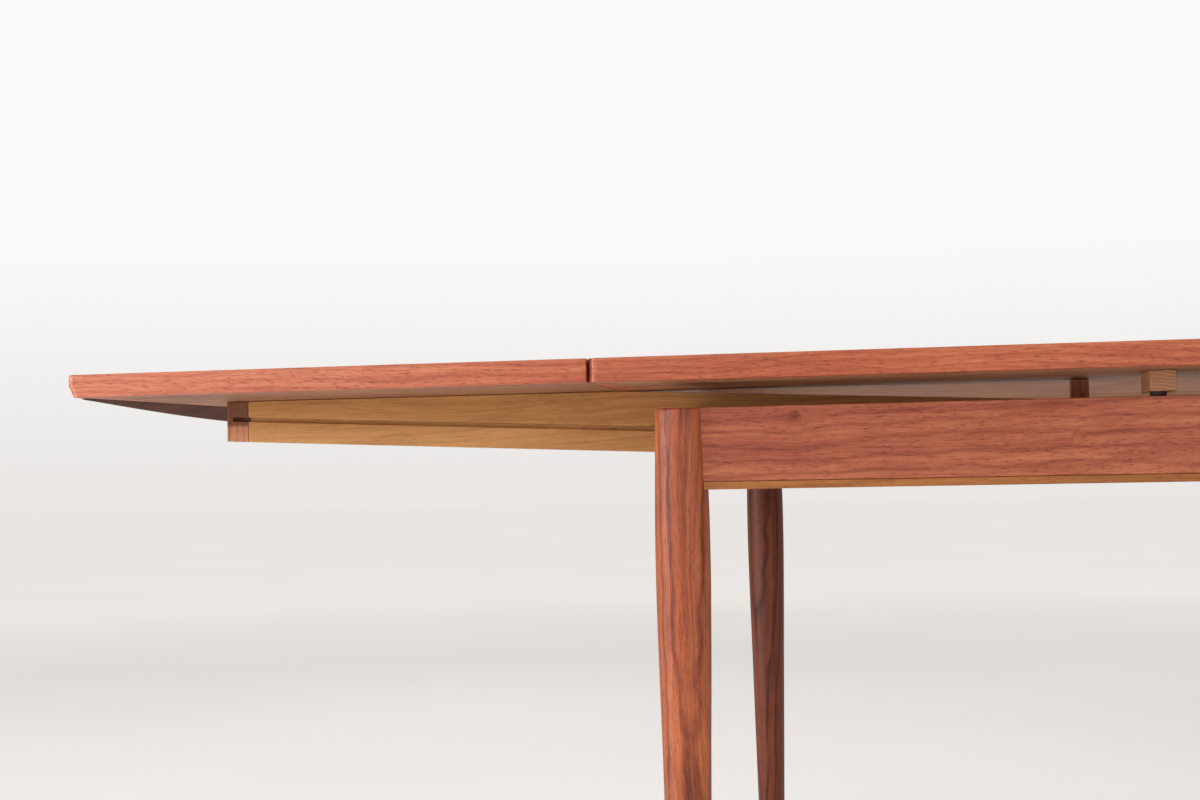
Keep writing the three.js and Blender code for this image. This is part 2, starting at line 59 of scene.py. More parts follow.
TOUCH = 0.1 * MM                      # a point this near a plane lies on it

TOP_LOW, TOP_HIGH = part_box("main_top_panel")
TOP_CENTRE_X = (TOP_LOW.x + TOP_HIGH.x) / 2
HALF_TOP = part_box("main_top_edge_right")[1].x - TOP_CENTRE_X


# ---- camera, light and floor ---------------------------------------------------------------------
CAMERA_PLACE = Vector((-0.1872, -1.7523, 0.6405))
CAMERA_YAW = math.radians(10.47)      # towards -X
CAMERA_PITCH = math.radians(2.41)     # upwards
CAMERA_ROLL = math.radians(1.07)      # clockwise
CAMERA_LENS = 51.0
CAMERA_SENSOR = 36
HORIZON = (0.82, 0.80, 0.78, 1)
SKY = (0.955, 0.95, 0.945, 1)
SKY_FROM = 0.13                       # upward part of a view's direction where the sky is full
AMBIENT = (0.40, 0.39, 0.38, 1)
FLOOR_REACH = 30.0
FLOOR_CELLS = 12


def link(name, data):
    made = bpy.data.objects.new(name, data)
    bpy.context.scene.collection.objects.link(made)
    return made


def add_camera():
    forward = Vector((
        -math.sin(CAMERA_YAW) * math.cos(CAMERA_PITCH),
        math.cos(CAMERA_YAW) * math.cos(CAMERA_PITCH),
        math.sin(CAMERA_PITCH),
    ))
    level_right = Vector((math.cos(CAMERA_YAW), math.sin(CAMERA_YAW), 0))
    level_up = level_right.cross(forward)
    right = level_right * math.cos(CAMERA_ROLL) - level_up * math.sin(CAMERA_ROLL)
    up = right.cross(forward)
    data = bpy.data.cameras.new("camera")
    data.lens = CAMERA_LENS
    data.sensor_width = CAMERA_SENSOR
    camera = link("camera", data)
    axes = Matrix((right, up, -forward)).transposed()
    camera.matrix_world = Matrix.Translation(CAMERA_PLACE) @ axes.to_4x4()
    bpy.context.scene.camera = camera


def add_area_light(name, place, target, size, power, tint):
    data = bpy.data.lights.new(name, "AREA")
    data.shape = "RECTANGLE"
    data.size, data.size_y = size
    data.energy = power
    data.color = tint
    light = link(name, data)
    light.location = place
    light.visible_camera = False
    light.rotation_euler = (Vector(target) - Vector(place)).to_track_quat("-Z", "Y").to_euler()


def add_lights():
    middle = (-0.35, -0.3, 0.68)
    add_area_light("key", (-2.0, -2.7, 1.4), middle, (1.4, 0.8), 27, (1.0, 0.97, 0.93))
    add_area_light("side", (-2.6, -1.25, 0.9), (-0.6, -0.4, 0.6), (0.6, 1.2), 30, (1.0, 0.97, 0.94))
    add_area_light("fill", (1.5, -2.4, 1.2), middle, (1.6, 1.2), 16, (1.0, 0.98, 0.95))
    add_area_light("above", (-0.2, 0.4, 3.4), (-0.2, 0.0, 0.7), (3.0, 2.4), 40, (1.0, 1.0, 1.0))
    add_area_light("back", (-1.6, 2.9, 2.2), (-0.8, 0.0, 0.72), (2.2, 1.0), 8, (1.0, 1.0, 1.0))


def add_world():
    """Soft even light. The sky seen by the camera pales upwards from the floor's own tone."""
    world = bpy.data.worlds.new("studio")
    world.use_nodes = True
    tree = world.node_tree
    background = tree.nodes["Background"]
    split = tree.nodes.new("ShaderNodeSeparateXYZ")
    tree.links.new(tree.nodes.new("ShaderNodeTexCoord").outputs["Generated"], split.inputs[0])
    sky = tree.nodes.new("ShaderNodeValToRGB")
    low, high = sky.color_ramp.elements
    low.position, low.color = 0.0, HORIZON
    high.position, high.color = SKY_FROM, SKY
    tree.links.new(split.outputs["Z"], sky.inputs["Fac"])
    shown = tree.nodes.new("ShaderNodeMix")
    shown.data_type = "RGBA"
    shown.inputs["A"].default_value = AMBIENT
    path = tree.nodes.new("ShaderNodeLightPath")
    tree.links.new(path.outputs["Is Camera Ray"], shown.inputs["Factor"])
    tree.links.new(sky.outputs["Color"], shown.inputs["B"])
    tree.links.new(shown.outputs["Result"], background.inputs["Color"])
    bpy.context.scene.world = world


def add_floor():
    build = bmesh.new()
    bmesh.ops.create_grid(build, x_segments=FLOOR_CELLS, y_segments=FLOOR_CELLS, size=FLOOR_REACH)
    data = bpy.data.meshes.new("floor")
    build.to_mesh(data)
    build.free()
    floor = link("floor", data)
    data.materials.append(floor_material())


# ---- node helpers --------------------------------------------------------------------------------
class Shader:
    """A material's node tree, with short calls to add and link nodes."""

    def __init__(self, name):
        self.material = bpy.data.materials.new(name)
        self.material.use_nodes = True
        self.tree = self.material.node_tree
        self.surface = self.tree.nodes["Principled BSDF"]

    def put(self, value, socket):
        if isinstance(value, bpy.types.NodeSocket):
            self.tree.links.new(value, socket)
        else:
            socket.default_value = value

    def node(self, kind, **settings):
        made = self.tree.nodes.new("ShaderNode" + kind)
        for name, value in settings.items():
            setattr(made, name, value)
        return made

    def place(self):
        return self.node("TexCoord").outputs["Object"]

    def parts(self, vector):
        split = self.node("SeparateXYZ")
        self.put(vector, split.inputs[0])
        return split.outputs

    def finish(self, base, rough):
        self.put(base, self.surface.inputs["Base Color"])
        self.put(rough, self.surface.inputs["Roughness"])
        return self.material

    def swing(self, value):
        """A noise, which runs from 0 to 1, brought to lie about 0."""
        return self.math("SUBTRACT", value, 0.5)

    def math(self, operation, first, second=0.0, third=0.0, clamp=False):
        made = self.node("Math", operation=operation, use_clamp=clamp)
        for socket, value in zip(made.inputs, (first, second, third)):
            self.put(value, socket)
        return made.outputs[0]

    def vector(self, operation, first, second=(0, 0, 0)):
        made = self.node("VectorMath", operation=operation)
        self.put(first, made.inputs[0])
        self.put(second, made.inputs[1])
        return made.outputs["Value" if operation == "LENGTH" else "Vector"]

    def noise(self, place, scale, detail=3.0, roughness=0.5):
        made = self.node("TexNoise")
        made.inputs["Scale"].default_value = 1.0
        made.inputs["Detail"].default_value = detail
        made.inputs["Roughness"].default_value = roughness
        self.put(self.vector("MULTIPLY", place, scale), made.inputs["Vector"])
        return made.outputs["Fac"]

    def rings(self, place, profile, scale, distortion, detail_scale=1.0):
        made = self.node("TexWave", wave_type="RINGS", rings_direction="X", wave_profile=profile)
        made.inputs["Scale"].default_value = scale
        made.inputs["Distortion"].default_value = distortion
        made.inputs["Detail"].default_value = 2.0
        made.inputs["Detail Scale"].default_value = detail_scale
        self.put(place, made.inputs["Vector"])
        return made.outputs["Fac"]

    def ramp(self, value, stops):
        made = self.node("ValToRGB")
        elements = made.color_ramp.elements
        while len(elements) < len(stops):
            elements.new(0.5)
        for element, (position, tint) in zip(elements, stops):
            element.position = position
            element.color = tint
        self.put(value, made.inputs["Fac"])
        return made.outputs["Color"]

    def remap(self, value, low, high, to_low=0.0, to_high=1.0):
        made = self.node("MapRange", clamp=True)
        limits = {"From Min": low, "From Max": high, "To Min": to_low, "To Max": to_high}
        for name, number in limits.items():
            made.inputs[name].default_value = number
        self.put(value, made.inputs["Value"])
        return made.outputs["Result"]

    def mix(self, factor, first, second):
        made = self.node("Mix", data_type="RGBA", blend_type="MIX", clamp_factor=True)
        self.put(factor, made.inputs["Factor"])
        self.put(first, made.inputs["A"])
        self.put(second, made.inputs["B"])
        return made.outputs["Result"]

    def bump(self, height, strength, depth):
        made = self.node("Bump")
        made.inputs["Strength"].default_value = strength
        made.inputs["Distance"].default_value = depth
        self.put(height, made.inputs["Height"])
        self.put(made.outputs["Normal"], self.surface.inputs["Normal"])


def colour(code):
    """An sRGB colour written as six hex digits, as linear numbers with full alpha."""
    parts = [int(code[start:start + 2], 16) / 255 for start in (0, 2, 4)]
    linear = [part / 12.92 if part <= 0.04045 else ((part + 0.055) / 1.055) ** 2.4 for part in parts]
    return (*linear, 1.0)


# ---- timber --------------------------------------------------------------------------------------
# The noises: scale per metre along the grain and twice across it, detail, and roughness if not 0.5.
SWAY = ((1.7, 7.0, 7.0), 2.0)
CURL = ((7.0, 24.0, 24.0), 3.0)
FIBRE = ((6.0, 330.0, 330.0), 4.0, 0.6)
HAIR = ((36.0, 1300.0, 1300.0), 2.0, 0.6)
TONE = ((1.8, 42.0, 42.0), 3.0)
FLARE = ((9.0, 5.0, 5.0), 2.0)
PORES = ((130.0, 1500.0, 1500.0), 1.0)
STREAKS = ((2.6, 120.0, 120.0), 2.0)
HANDLING = ((14.0, 20.0, 20.0), 3.0)
RUBBING = ((28.0, 28.0, 28.0), 5.0, 0.65)
KNOT_RIPPLE = ((60.0, 120.0, 120.0), 2.0)
RAY_SPECKS = ((60.0, 900.0, 900.0), 3.0, 0.7)

SWAY_REACH = 0.055
CURL_REACH = 0.010
GRAIN_LEAN = (0, math.radians(0.7), math.radians(0.9))
LINE_SHARPNESS = 5.0
LINE_WEIGHT = -0.20
FIBRE_WEIGHT = 0.52
HAIR_WEIGHT = 0.34
TONE_WEIGHT = 0.42
FLARE_WEIGHT = 0.30
MEAN_LEVEL = 0.52
DARK_AT, MIDDLE_AT, LIGHT_AT = 0.24, 0.50, 0.76
STREAK_DEPTH = 0.42
RUBBED_PALENESS = 0.45
WOOD_BUMP = 0.4
WOOD_RELIEF = 0.0004


def grain_place(shader, axis, offset):
    """Object coordinates turned so that the first one runs along the grain."""
    parts = shader.parts(shader.place())
    order = {"X": (0, 1, 2), "Y": (1, 0, 2), "Z": (2, 0, 1)}[axis]
    joined = shader.node("CombineXYZ")
    for target, source in enumerate(order):
        shader.put(parts[source], joined.inputs[target])
    return shader.vector("ADD", joined.outputs[0], offset)


def bent_grain(shader, place):
    """Places shifted across the grain by a slow sway and a smaller curl."""
    sway = shader.math("MULTIPLY", shader.swing(shader.noise(place, *SWAY)), SWAY_REACH)
    curl = shader.math("MULTIPLY", shader.swing(shader.noise(place, *CURL)), CURL_REACH)
    bend = shader.math("ADD", sway, curl)
    shift = shader.node("CombineXYZ")
    shader.put(bend, shift.inputs[1])
    shader.put(bend, shift.inputs[2])
    return shader.vector("ADD", place, shift.outputs[0])


def growth_lines(shader, bent, rings, pith):
    """Thin dark lines where the growth rings, round a pith outside the board, reach its face."""
    lean = shader.node("Mapping")
    lean.inputs["Location"].default_value = pith
    lean.inputs["Rotation"].default_value = GRAIN_LEAN
    shader.put(bent, lean.inputs["Vector"])
    wave = shader.rings(lean.outputs[0], "SIN", rings, 2.4, 0.5)
    return shader.math("POWER", wave, LINE_SHARPNESS)


def tone_ramp(shader, level, light, middle, dark):
    return shader.ramp(level, ((DARK_AT, dark), (MIDDLE_AT, middle), (LIGHT_AT, light)))


def wood(name, axis, offset, light, middle, dark, pore, figure=0.5, pores=0.6, rings=46.0,
         pith=(0.0, 0.11, 0.06), roughness=0.42, gloss=0.35, knot=None, wear=None, shade_above=None, face=None):
    """Oiled timber: thin growth lines, long fibres, open pores and slow changes of tone.

    offset is where in the noises the board is cut. figure and pores say how strong they look.
    knot is (place, radius), face is (height, tones), and wear is (height, reach). The painted shade
    argument, which darkens the part above a height as a cast shadow would, is (height, reach) too.
    """
    shader = Shader(name)
    place = grain_place(shader, axis, offset)
    bent = bent_grain(shader, place)
    if knot:
        bent, heart = around_knot(shader, place, bent, knot)
    line = growth_lines(shader, bent, rings, pith)
    fibre = shader.noise(bent, *FIBRE)
    hair = shader.noise(bent, *HAIR)
    tone = shader.noise(bent, *TONE)
    flare = shader.noise(place, *FLARE)
    weights = (
        (fibre, FIBRE_WEIGHT), (hair, HAIR_WEIGHT), (tone, TONE_WEIGHT), (flare, FLARE_WEIGHT * figure),
    )
    total = shader.math("MULTIPLY", line, LINE_WEIGHT * figure)
    for value, weight in weights:
        total = shader.math("MULTIPLY_ADD", shader.swing(value), weight, total)
    level = shader.math("ADD", total, MEAN_LEVEL, clamp=True)
    base = tone_ramp(shader, level, light, middle, dark)
    if face:
        base = faced(shader, level, base, face)
    pore_mask = shader.remap(shader.noise(bent, *PORES), 0.58, 0.70, 0.0, pores)
    base = shader.mix(pore_mask, base, pore)
    streak = shader.remap(shader.noise(bent, *STREAKS), 0.60, 0.72, 0.0, STREAK_DEPTH * figure)
    base = shader.mix(streak, base, dark)
    if knot:
        base = shader.mix(heart, base, pore)
    # Painted shade over the part above a height.
    if shade_above:
        base = painted_shade_above(shader, base, shade_above, dark)
    handling = shader.swing(shader.noise(place, *HANDLING))
    rough = shader.math("MULTIPLY_ADD", handling, 0.22, roughness)
    rough = shader.math("MULTIPLY_ADD", pore_mask, 0.2, rough, clamp=True)
    if wear:
        rubbed = rubbed_arris(shader, wear)
        base = shader.mix(shader.math("MULTIPLY", rubbed, RUBBED_PALENESS), base, light)
        rough = shader.math("MULTIPLY_ADD", rubbed, 0.12, rough, clamp=True)
    relief = shader.math("MULTIPLY_ADD", fibre, 0.5, shader.math("MULTIPLY", hair, 0.5))
    relief = shader.math("MULTIPLY_ADD", pore_mask, -0.9, relief)
    shader.bump(relief, WOOD_BUMP, WOOD_RELIEF)
    shader.surface.inputs["Specular IOR Level"].default_value = gloss
    return shader.finish(base, rough)


def faced(shader, level, base, face):
    """A better veneer on the part above a height, with its own tones."""
    height, tones = face
    z = shader.parts(shader.place())["Z"]
    above = shader.remap(z, height - 0.5 * MM, height + 0.5 * MM)
    return shader.mix(above, base, tone_ramp(shader, level, **tones))


def painted_shade_above(shader, base, shade_above, dark):
    """Painted shade: darkens the part above a height, standing in for a cast shadow."""
    height, reach = shade_above
    z = shader.parts(shader.place())["Z"]
    above = shader.remap(z, height - reach, height + reach, 0.0, 0.85)
    shade_colour = (*(part * 0.35 for part in dark[:3]), 1.0)
    return shader.mix(above, base, shade_colour)


def rubbed_arris(shader, wear):
    """Patchy wear along the arris at a height, fading out over the reach."""
    height, reach = wear
    place = shader.place()
    away = shader.math("ABSOLUTE", shader.math("SUBTRACT", shader.parts(place)["Z"], height))
    near = shader.remap(away, 0.0, reach, 1.0, 0.0)
    patchy = shader.remap(shader.noise(place, *RUBBING), 0.38, 0.62, 0.15, 1.0)
    return shader.math("MULTIPLY", near, patchy)


def around_knot(shader, place, bent, knot):
    """Grain that parts round a small knot, and the knot's own dark heart."""
    centre, radius = knot
    apart = shader.vector("SUBTRACT", place, centre)
    squeezed = shader.vector("MULTIPLY", apart, (0.7, 1.0, 0.75))
    distance = shader.vector("LENGTH", squeezed)
    near = shader.math("EXPONENT", shader.math("MULTIPLY", distance, -0.55 / radius))
    push = shader.node("VectorMath", operation="SCALE")
    shader.put(shader.vector("MULTIPLY", apart, (0.0, -1.0, -1.0)), push.inputs[0])
    shader.put(shader.math("MULTIPLY", near, 0.85), push.inputs["Scale"])
    ripple = shader.noise(place, *KNOT_RIPPLE)
    uneven = shader.math("MULTIPLY_ADD", ripple, radius * 1.1, distance)
    heart = shader.remap(uneven, radius * 0.8, radius * 1.6, 0.45, 0.0)
    return shader.vector("ADD", bent, push.outputs[0]), heart


def end_grain(name, offset):
    """Sawn end of a light timber: ring arcs crossed by fine rays."""
    shader = Shader(name)
    place = grain_place(shader, "Y", offset)
    pith = shader.node("Mapping")
    pith.inputs["Location"].default_value = (0.0, 0.022, -0.019)
    shader.put(place, pith.inputs["Vector"])
    arcs = shader.rings(pith.outputs[0], "SAW", 120.0, 2.0)
    speck = shader.noise(place, *RAY_SPECKS)
    level = shader.math("MULTIPLY_ADD", arcs, 0.45, shader.math("MULTIPLY", speck, 0.55))
    shader.bump(level, 0.5, 0.0004)
    base = shader.ramp(level, ((0.25, colour("a06c4c")), (0.7, colour("c9936c"))))
    return shader.finish(base, shader.math("MULTIPLY_ADD", speck, 0.25, 0.55))


def palette(light, middle, dark, pore):
    return {"light": colour(light), "middle": colour(middle), "dark": colour(dark), "pore": colour(pore)}


TEAK = palette("c67a55", "a75a41", "7c3b29", "4f2217")
TEAK_EDGE = palette("d28560", "b66043", "8e452f", "5c291c")
# Painted shade: a darker copy of the leg tones for the back legs, which stand in the shade of the top.
TEAK_LEG_SHADED = palette("9c5634", "7c3e29", "4c2217", "33140d")
TEAK_LEG = palette("d07d48", "a8573a", "66301f", "441c13")
TEAK_LIP = palette("b47642", "a06333", "7e4822", "5c331b")
# Painted light: far paler than teak, so that the caps and stops, deep in the shaded recess under the top,
# come out lighter.
TEAK_STOP_LIGHTENED = palette("dca484", "c98a6a", "a56a4c", "6a4029")
TEAK_DARK = palette("784631", "593122", "3a1e14", "22110a")
TEAK_TOP = dict(light=colour("c88259"), middle=colour("ad6644"), dark=colour("87452d"))
VENEER = palette("c18e6c", "a67355", "84563c", "5f3c29")
BEECH = palette("dba569", "c69056", "a26f3e", "7e532d")
BEECH_ROUGH = palette("cfa577", "b98c60", "96693f", "7a5230")


# ---- other materials -----------------------------------------------------------------------------
def rubber_material():
    shader = Shader("rubber")
    speck = shader.noise(shader.place(), (700.0, 700.0, 700.0))
    shader.bump(speck, 0.3, 0.0003)
    base = shader.ramp(speck, ((0.3, colour("120e0c")), (0.7, colour("2b241f"))))
    return shader.finish(base, shader.math("MULTIPLY_ADD", speck, 0.3, 0.5))


def steel_material():
    """Old zinc-plated screw heads, dulled in places."""
    shader = Shader("screw_steel")
    dulled = shader.noise(shader.place(), (420.0, 420.0, 420.0), 4.0)
    shader.bump(dulled, 0.2, 0.0002)
    shader.surface.inputs["Metallic"].default_value = 1.0
    base = shader.ramp(dulled, ((0.35, colour("5d554c")), (0.65, colour("a9a298"))))
    return shader.finish(base, shader.math("MULTIPLY_ADD", dulled, 0.4, 0.2))


def floor_material():
    """Pale painted floor that pales into the horizon."""
    shader = Shader("pale_floor")
    place = shader.place()
    cloud = shader.noise(place, (0.8, 0.8, 0.8))
    shader.surface.inputs["Specular IOR Level"].default_value = 0.1
    shader.surface.inputs["Emission Color"].default_value = HORIZON
    seen = shader.node("LightPath").outputs["Is Camera Ray"]
    glow = shader.remap(shader.vector("LENGTH", place), 1.0, 7.0, 0.17, 0.56)
    shader.put(shader.math("MULTIPLY", glow, seen), shader.surface.inputs["Emission Strength"])
    base = shader.ramp(cloud, ((0.3, colour("eeeae6")), (0.7, colour("f4f1ee"))))
    return shader.finish(base, 0.9)


# ---- geometry helpers ----------------------------------------------------------------------------
WELD = 0.02 * MM
FLAT_ANGLE = math.radians(0.05)
ARRIS_ANGLE = math.radians(35)
SHARP_ANGLE = math.radians(40)


def finish_mesh(build, name, material):
    """Turns a bmesh into a smooth-shaded object whose flat faces stay flat."""
    bmesh.ops.recalc_face_normals(build, faces=build.faces)
    data = bpy.data.meshes.new(name)
    build.to_mesh(data)
    build.free()
    for polygon in data.polygons:
        polygon.use_smooth = True
    data.set_sharp_from_angle(angle=SHARP_ANGLE)
    data.materials.append(material)
    made = link(name, data)
    weighted = made.modifiers.new("flat faces", "WEIGHTED_NORMAL")
    weighted.keep_sharp = True
    return made


def cad_copy(node):
    """A CAD solid as a bmesh with its triangles joined into whole flat faces."""
    build = bmesh.new()
    build.from_mesh(NODES[node].data)
    bmesh.ops.remove_doubles(build, verts=build.verts, dist=WELD)
    bmesh.ops.dissolve_limit(build, angle_limit=FLAT_ANGLE, verts=build.verts, edges=build.edges)
    return build


def rounded(node, material, rounds, segments=3):
    """A piece that stands for a CAD node, with chosen arrises rounded over.

    rounds lists (rule, radius); a rule says of an edge's middle whether it is rounded.
    """
    build = cad_copy(node)
    for rule, radius in rounds:
        edges = [
            edge for edge in build.edges
            if len(edge.link_faces) == 2 and edge.calc_face_angle(0) > ARRIS_ANGLE
            and rule((edge.verts[0].co + edge.verts[1].co) / 2)
        ]
        bmesh.ops.bevel(
            build, geom=edges, offset=radius, offset_type="OFFSET", segments=segments,
            profile=0.5, affect="EDGES", clamp_overlap=True,
        )
    stands_for(finish_mesh(build, node + "_wood", material), node)


def stands_for(piece, node):
    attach(piece, BODY_OF[node])
    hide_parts(node)


def everywhere(_):
    return True


def lathe(build, centre, profile, sides):
    """Adds a closed turned body on an upright axis, from (height, radius) pairs."""
    loops = []
    for height, radius in profile:
        loops.append([
            build.verts.new((
                centre.x + radius * math.cos(2 * math.pi * side / sides),
                centre.y + radius * math.sin(2 * math.pi * side / sides),
                centre.z + height,
            ))
            for side in range(sides)
        ])
    for loop, following in zip(loops, loops[1:]):
        for side in range(sides):
            other = (side + 1) % sides
            build.faces.new((loop[side], loop[other], following[other], following[side]))
    build.faces.new(loops[0])
    build.faces.new(loops[-1])


# ---- legs ----------------------------------------------------------------------------------------
LEG_SIDES = 72
LEG_STEPS = 60
LEG_ARRIS_STEPS = 6
LEG_SHIFTS = {                        # where in the noises each leg is cut
    "front_left": (0.31, 0.05, 0.02),
    "front_right": (1.7, 0.21, 0.13),
    "back_left": (2.9, 0.37, 0.24),
    "back_right": (4.1, 0.53, 0.35),
}


def smooth_radius(rings, height):
    """Radius at a height, on a smooth curve through the rings of the turned profile."""
    for below in range(len(rings) - 1):
        if height <= rings[below + 1][0]:
            break
    (z1, r1), (z2, r2) = rings[below], rings[below + 1]
    z0, r0 = rings[max(below - 1, 0)]
    z3, r3 = rings[min(below + 2, len(rings) - 1)]
    slope1 = (r2 - r0) / (z2 - z0) if z2 > z0 else 0.0
    slope2 = (r3 - r1) / (z3 - z1) if z3 > z1 else 0.0
    part = (height - z1) / (z2 - z1)
    span = z2 - z1
    return (
        r1 * (2 * part**3 - 3 * part**2 + 1) + slope1 * span * (part**3 - 2 * part**2 + part)
        + r2 * (3 * part**2 - 2 * part**3) + slope2 * span * (part**3 - part**2)
    )


def leg_rings(node, centre):
    """The turned profile of a CAD leg, as (height, radius) from its foot to its head."""
    found = {}
    for vertex in NODES[node].data.vertices:
        height = round(vertex.co.z, 5)
        radius = math.hypot(vertex.co.x - centre.x, vertex.co.y - centre.y)
        found[height] = max(found.get(height, 0.0), radius)
    return sorted(found.items())


def leg_profile(rings):
    """The foot's short straight, a smooth curve up the leg, and a rounded arris at the head."""
    (foot, _), (ankle, _) = rings[:2]
    (shoulder, shoulder_radius), (head, head_radius) = rings[-2:]
    heights = [foot, ankle]
    heights += [ankle + (shoulder - ankle) * step / LEG_STEPS for step in range(1, LEG_STEPS + 1)]
    profile = [(height, smooth_radius(rings[:-1], height)) for height in heights]
    for step in range(1, LEG_ARRIS_STEPS + 1):
        angle = step / LEG_ARRIS_STEPS * math.pi / 2
        height = shoulder + (head - shoulder) * math.sin(angle)
        profile.append((height, head_radius + (shoulder_radius - head_radius) * math.cos(angle)))
    return profile


def add_leg(node, material):
    low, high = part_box(node)
    centre = (low + high) / 2
    build = bmesh.new()
    lathe(build, Vector((centre.x, centre.y, 0)), leg_profile(leg_rings(node, centre)), LEG_SIDES)
    stands_for(finish_mesh(build, node + "_turned", material), node)


def add_legs():
    for corner, shift in LEG_SHIFTS.items():
        # The back legs take the darker copy: painted shade on the same wood as the front legs.
        tones = TEAK_LEG_SHADED if corner.startswith("back") else TEAK_LEG
        material = wood("teak_leg_" + corner, "Z", shift, figure=1.0, pores=0.5,
                        pith=(0.0, 0.35, 0.25), roughness=0.4, gloss=0.32, **tones)
        add_leg("leg_" + corner, material)
        rounded("foot_glide_" + corner, RUBBER, [(everywhere, 0.4 * MM)])


# ---- frame ---------------------------------------------------------------------------------------
APRON_ARRIS = 0.8 * MM
APRON_WEAR = 4 * MM
KNOT_FROM_END = 76 * MM
KNOT_BELOW_TOP = 9 * MM
KNOT_RADIUS = 4.5 * MM


def at_heights(*heights):
    """Edges that lie at one of the heights."""
    return lambda point: any(abs(point.z - height) < TOUCH for height in heights)


def add_frame():
    for index, side in enumerate(SIDES):
        low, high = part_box("side_apron_" + side)
        offset = Vector((0.4 + index, 0.1 * index, 0.0))
        knot_place = offset + Vector((low.x + KNOT_FROM_END, low.y, high.z - KNOT_BELOW_TOP))
        knot = (knot_place, KNOT_RADIUS) if side == "front" else None
        board = wood("teak_apron_" + side, "X", offset, figure=0.65, pores=0.6, rings=60.0,
                     pith=(0.0, 0.10, -0.52), roughness=0.4, knot=knot, wear=(high.z, APRON_WEAR), **TEAK)
        rounded("side_apron_" + side, board, [(at_heights(low.z, high.z), APRON_ARRIS)])
        lip = wood("teak_lip_" + side, "X", (2.4 + index, 0.2, 0.1), figure=0.6, pores=0.4, **TEAK_LIP)
        rounded("side_apron_lip_" + side, lip, [(everywhere, 0.7 * MM)])
    for index, end in enumerate(ENDS):
        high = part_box("end_apron_" + end)[1]
        board = wood("teak_end_apron_" + end, "Y", (5.4 + index, 0.3, 0.1), figure=0.9, pores=0.6,
                     rings=40.0, pith=(0.0, 0.10, -0.5), **TEAK)
        rounded("end_apron_" + end, board, [(at_heights(high.z), APRON_ARRIS)])
        lip = wood("teak_end_lip_" + end, "Y", (7.4 + index, 0.2, 0.1), figure=0.6, pores=0.4, **TEAK_LIP)
        rounded("end_apron_lip_" + end, lip, [(everywhere, 0.7 * MM)])
        for side in SIDES:
            rounded(f"corner_block_{side}_{end}", BLOCK_WOOD, [(everywhere, 0.8 * MM)])
    for index, side in enumerate(SIDES):
        bar = wood("beech_guide_" + side, "X", (9.0 + index, 0.4, 0.2), figure=0.5, pores=0.35,
                   roughness=0.6, **BEECH_ROUGH)
        rounded("guide_bar_" + side, bar, [(everywhere, 0.5 * MM)], segments=2)
    rail = wood("beech_rail", "Y", (11.0, 0.1, 0.6), figure=0.6, pores=0.35, roughness=0.6, **BEECH_ROUGH)
    rounded("centre_rail", rail, [(everywhere, 0.6 * MM)], segments=2)


# ---- main top and leaves -------------------------------------------------------------------------
TOP_ARRIS = 1.8 * MM
LOWER_ARRIS = 0.9 * MM
LIPPING_WEAR = 3 * MM
TOP_LIPPING_DEPTH = 9 * MM            # how far in from its outer face a lipping's arrises reach
LEAF_LIPPING_DEPTH = 6 * MM
LEAF_END_DEPTH = 24 * MM
JOINT_REACH = TOP_CENTRE_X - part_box("left_leaf_edge_front")[1].x
HALF_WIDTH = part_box("main_top_edge_back")[1].y
BOW = (HALF_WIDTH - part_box("left_leaf_edge_back")[1].y) / JOINT_REACH ** 2


def edge_line(reach):
    """Half width of the bowed top at a distance from its middle."""
    return HALF_WIDTH - BOW * reach ** 2


def arrises(rule, node):
    """The upper and the lower arris that a rule picks on a board, each with its rounding."""
    low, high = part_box(node)
    middle = (low.z + high.z) / 2
    return [
        (lambda point: rule(point) and point.z > middle, TOP_ARRIS),
        (lambda point: rule(point) and point.z < middle, LOWER_ARRIS),
    ]


def near_x(x, reach):
    """Edges within a reach of an upright plane across the table."""
    return lambda point: abs(point.x - x) < reach


def at_top_end(point):
    return abs(point.x - TOP_CENTRE_X) > HALF_TOP - TOUCH


def outer_rule(node, side_sign):
    """The outer face of the main top's long lipping, and its ends."""
    low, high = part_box(node)
    limit = (high.y if side_sign > 0 else -low.y) - TOP_LIPPING_DEPTH
    return lambda point: abs(point.y) > limit or at_top_end(point)


def panel_wood(name, offset, low, high):
    """Veneer, with a better one on the upper face."""
    face = ((low.z + high.z) / 2, TEAK_TOP)
    return wood(name, "X", offset, figure=0.75, pores=0.5, rings=34.0, pith=(0.0, 0.1, 0.9),
                roughness=0.5, gloss=0.22, face=face, **VENEER)


def lipping_wood(name, axis, offset, top, roughness, figure=0.5):
    """Solid teak, rubbed along the arris at the upper face."""
    return wood(name, axis, offset, figure=figure, rings=60.0, pith=(0.0, 0.3, 0.1),
                roughness=roughness, wear=(top, LIPPING_WEAR), **TEAK_EDGE)


def add_main_top():
    rounded("main_top_panel", panel_wood("teak_top_veneer", (13.0, 0.0, 0.3), TOP_LOW, TOP_HIGH), [])
    for index, (side, sign) in enumerate(SIDES.items()):
        node = "main_top_edge_" + side
        offset = (15.0 + index, 0.1, 0.7)
        material = lipping_wood("teak_top_edge_" + side, "X", offset, TOP_HIGH.z, 0.36, figure=0.55)
        rounded(node, material, arrises(outer_rule(node, sign), node))
    for index, end in enumerate(ENDS):
        node = "main_top_edge_" + end
        material = lipping_wood("teak_top_end_" + end, "Y", (17.0 + index, 0.1, 0.7), TOP_HIGH.z, 0.36)
        rounded(node, material, arrises(at_top_end, node))


STUD_RADIUS = 6.2 * MM
STUD_SIDES = 32
STUD_FROM_BLOCK_END = 7 * MM
STUD_FROM_APRON_FACE = 12 * MM
SCREW_RADIUS = 5.2 * MM
SCREW_RIM = 0.5 * MM
SCREW_SUNK = 0.02 * MM
SCREW_CROWN = 0.97                    # radius of the crown over the head's
SCREW_SLOT = 0.13                     # half width of the slot over the head's radius
SCREW_STEPS = 14


